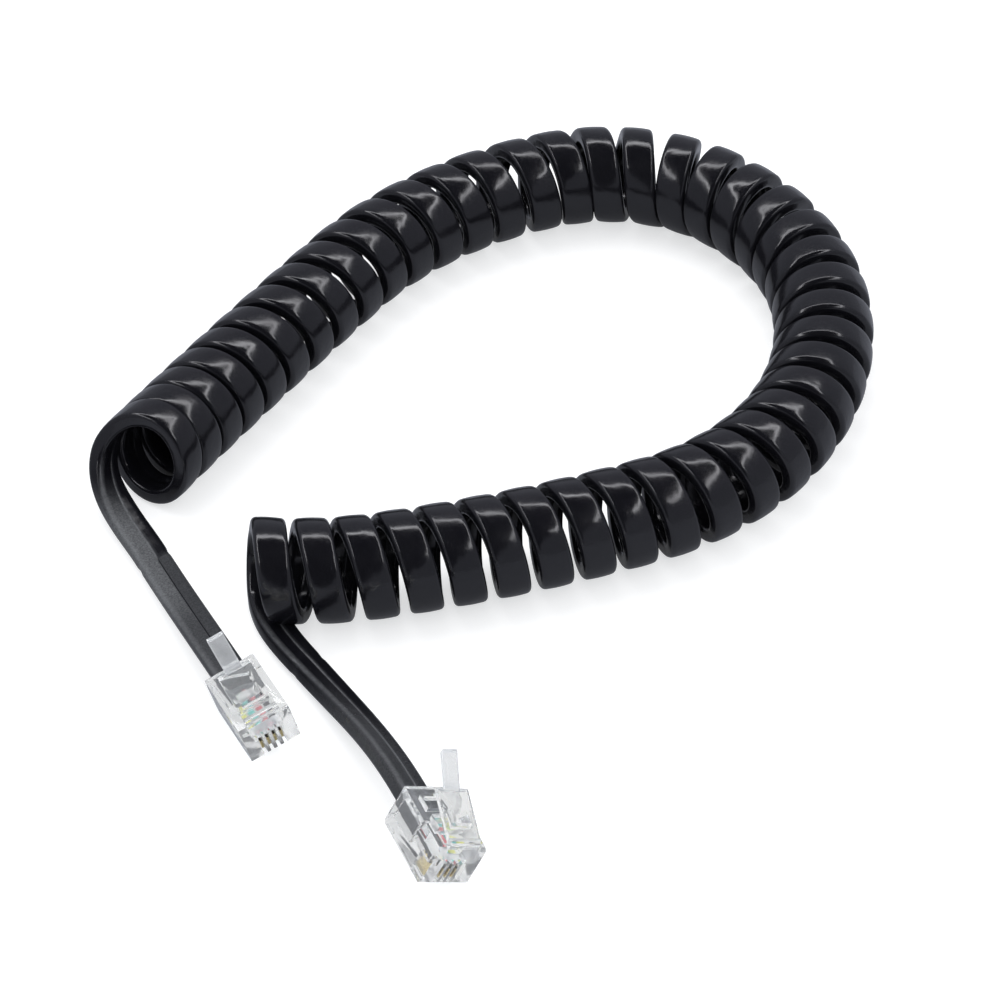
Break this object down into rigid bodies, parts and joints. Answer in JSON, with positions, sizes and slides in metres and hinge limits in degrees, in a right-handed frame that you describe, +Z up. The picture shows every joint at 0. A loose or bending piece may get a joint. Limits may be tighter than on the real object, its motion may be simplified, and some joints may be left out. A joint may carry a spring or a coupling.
{
  "type": "coiled handset cord",
  "caption": "Coiled flat telephone handset cord bent into a U, with a clear modular plug and spring latch on each straight tail.",
  "frame": {"origin": "centre of the bounding box in X and Y, on the table the cord lies on in Z", "axes": "+Z up from the table; +Y away from the two plugs, along the long way of the U; +X from the tails towards the closed end's right side"},
  "size_m": [0.1162, 0.1614, 0.0157],
  "materials": {
    "jacket": "glossy black PVC",
    "clear_plastic": "water-clear moulded polycarbonate",
    "contact_gold": "gold-plated phosphor bronze",
    "wire_black": "satin insulation",
    "wire_red": "satin insulation",
    "wire_green": "satin insulation",
    "wire_yellow": "satin insulation"
  },
  "bodies": {
    "coil_back": {"coil_back_turns": "jacket", "coil_left_bend_turns": "jacket"},
    "coil_a_inner": {"coil_a_inner_turns": "jacket"},
    "coil_a_outer": {"coil_a_outer_turns": "jacket", "tail_a_bend": "jacket"},
    "coil_right": {"coil_right_turns": "jacket", "coil_right_bend_turns": "jacket"},
    "coil_b_inner": {"coil_b_inner_turns": "jacket"},
    "coil_b_outer": {"coil_b_outer_turns": "jacket", "tail_b_bend": "jacket"},
    "tail_a": {"tail_a_jacket": "jacket", "tail_a_wire_black": "wire_black", "tail_a_wire_red": "wire_red", "tail_a_wire_green": "wire_green", "tail_a_wire_yellow": "wire_yellow", "tail_a_boot_flex": "jacket"},
    "plug_a": {"plug_a_housing": "clear_plastic", "plug_a_strain_relief_bar": "clear_plastic", "plug_a_wire_clamp_bar": "clear_plastic", "plug_a_jacket_end": "jacket", "plug_a_contact_1": "contact_gold", "plug_a_contact_2": "contact_gold", "plug_a_contact_3": "contact_gold", "plug_a_contact_4": "contact_gold", "plug_a_wire_black": "wire_black", "plug_a_wire_red": "wire_red", "plug_a_wire_green": "wire_green", "plug_a_wire_yellow": "wire_yellow"},
    "latch_a": {"plug_a_latch": "clear_plastic"},
    "tail_b": {"tail_b_jacket": "jacket", "tail_b_wire_black": "wire_black", "tail_b_wire_red": "wire_red", "tail_b_wire_green": "wire_green", "tail_b_wire_yellow": "wire_yellow", "tail_b_boot_flex": "jacket"},
    "plug_b": {"plug_b_housing": "clear_plastic", "plug_b_strain_relief_bar": "clear_plastic", "plug_b_wire_clamp_bar": "clear_plastic", "plug_b_jacket_end": "jacket", "plug_b_contact_1": "contact_gold", "plug_b_contact_2": "contact_gold", "plug_b_contact_3": "contact_gold", "plug_b_contact_4": "contact_gold", "plug_b_wire_black": "wire_black", "plug_b_wire_red": "wire_red", "plug_b_wire_green": "wire_green", "plug_b_wire_yellow": "wire_yellow"},
    "latch_b": {"plug_b_latch": "clear_plastic"}
  },
  "joints": [
    {"name": "coil_stretch", "type": "slide", "parent": "coil_back", "child": "coil_right", "axis": [0.5803, -0.8144, 0], "range_m": [0, 0.2]},
    {"name": "coil_left_bend", "type": "hinge", "parent": "coil_back", "child": "coil_a_inner", "pos_m": [0.00497, 0.06989, 0.00759], "axis": [0, 0, -1], "range_deg": [-2, 50], "deforming": ["coil_left_bend_turns"]},
    {"name": "coil_a_stretch", "type": "slide", "parent": "coil_a_inner", "child": "coil_a_outer", "axis": [-0.6312, -0.7756, 0], "range_m": [0, 0.2]},
    {"name": "coil_right_bend", "type": "hinge", "parent": "coil_right", "child": "coil_b_inner", "pos_m": [0.04571, 0.01272, 0.00759], "axis": [0, 0, 1], "range_deg": [-2, 50], "deforming": ["coil_right_bend_turns"]},
    {"name": "coil_b_stretch", "type": "slide", "parent": "coil_b_inner", "child": "coil_b_outer", "axis": [-0.9101, -0.4145, 0], "range_m": [0, 0.2]},
    {"name": "tail_a_bend", "type": "hinge", "parent": "coil_a_outer", "child": "tail_a", "pos_m": [-0.05464, -0.00178, 0.00334], "axis": [-0.8542, -0.4729, 0.216], "range_deg": [0, 60], "deforming": ["tail_a_bend"]},
    {"name": "plug_a_flex", "type": "hinge", "parent": "tail_a", "child": "plug_a", "pos_m": [-0.03616, -0.04022, 0.00469], "axis": [-0.8595, -0.4304, -0.2756], "range_deg": [-35, 35], "deforming": ["tail_a_boot_flex"]},
    {"name": "latch_a_press", "type": "hinge", "parent": "plug_a", "child": "latch_a", "pos_m": [-0.03094, -0.05278, 0.0081], "axis": [-0.8587, -0.4321, -0.2756], "range_deg": [0, 18]},
    {"name": "tail_b_bend", "type": "hinge", "parent": "coil_b_outer", "child": "tail_b", "pos_m": [-0.02834, -0.03094, 0.00139], "axis": [-0.8652, -0.4894, 0.1095], "range_deg": [0, 60], "deforming": ["tail_b_bend"]},
    {"name": "plug_b_flex", "type": "hinge", "parent": "tail_b", "child": "plug_b", "pos_m": [-0.0105, -0.0657, 0.00622], "axis": [-0.8202, -0.3788, 0.4286], "range_deg": [-35, 35], "deforming": ["tail_b_boot_flex"]},
    {"name": "latch_b_press", "type": "hinge", "parent": "plug_b", "child": "latch_b", "pos_m": [-0.00332, -0.07759, 0.00815], "axis": [-0.8011, -0.4186, 0.4277], "range_deg": [0, 18]}
  ],
  "couplings": [
    {"joint": "coil_a_stretch", "follows": "coil_stretch", "ratio": 1},
    {"joint": "coil_b_stretch", "follows": "coil_stretch", "ratio": 1}
  ]
}
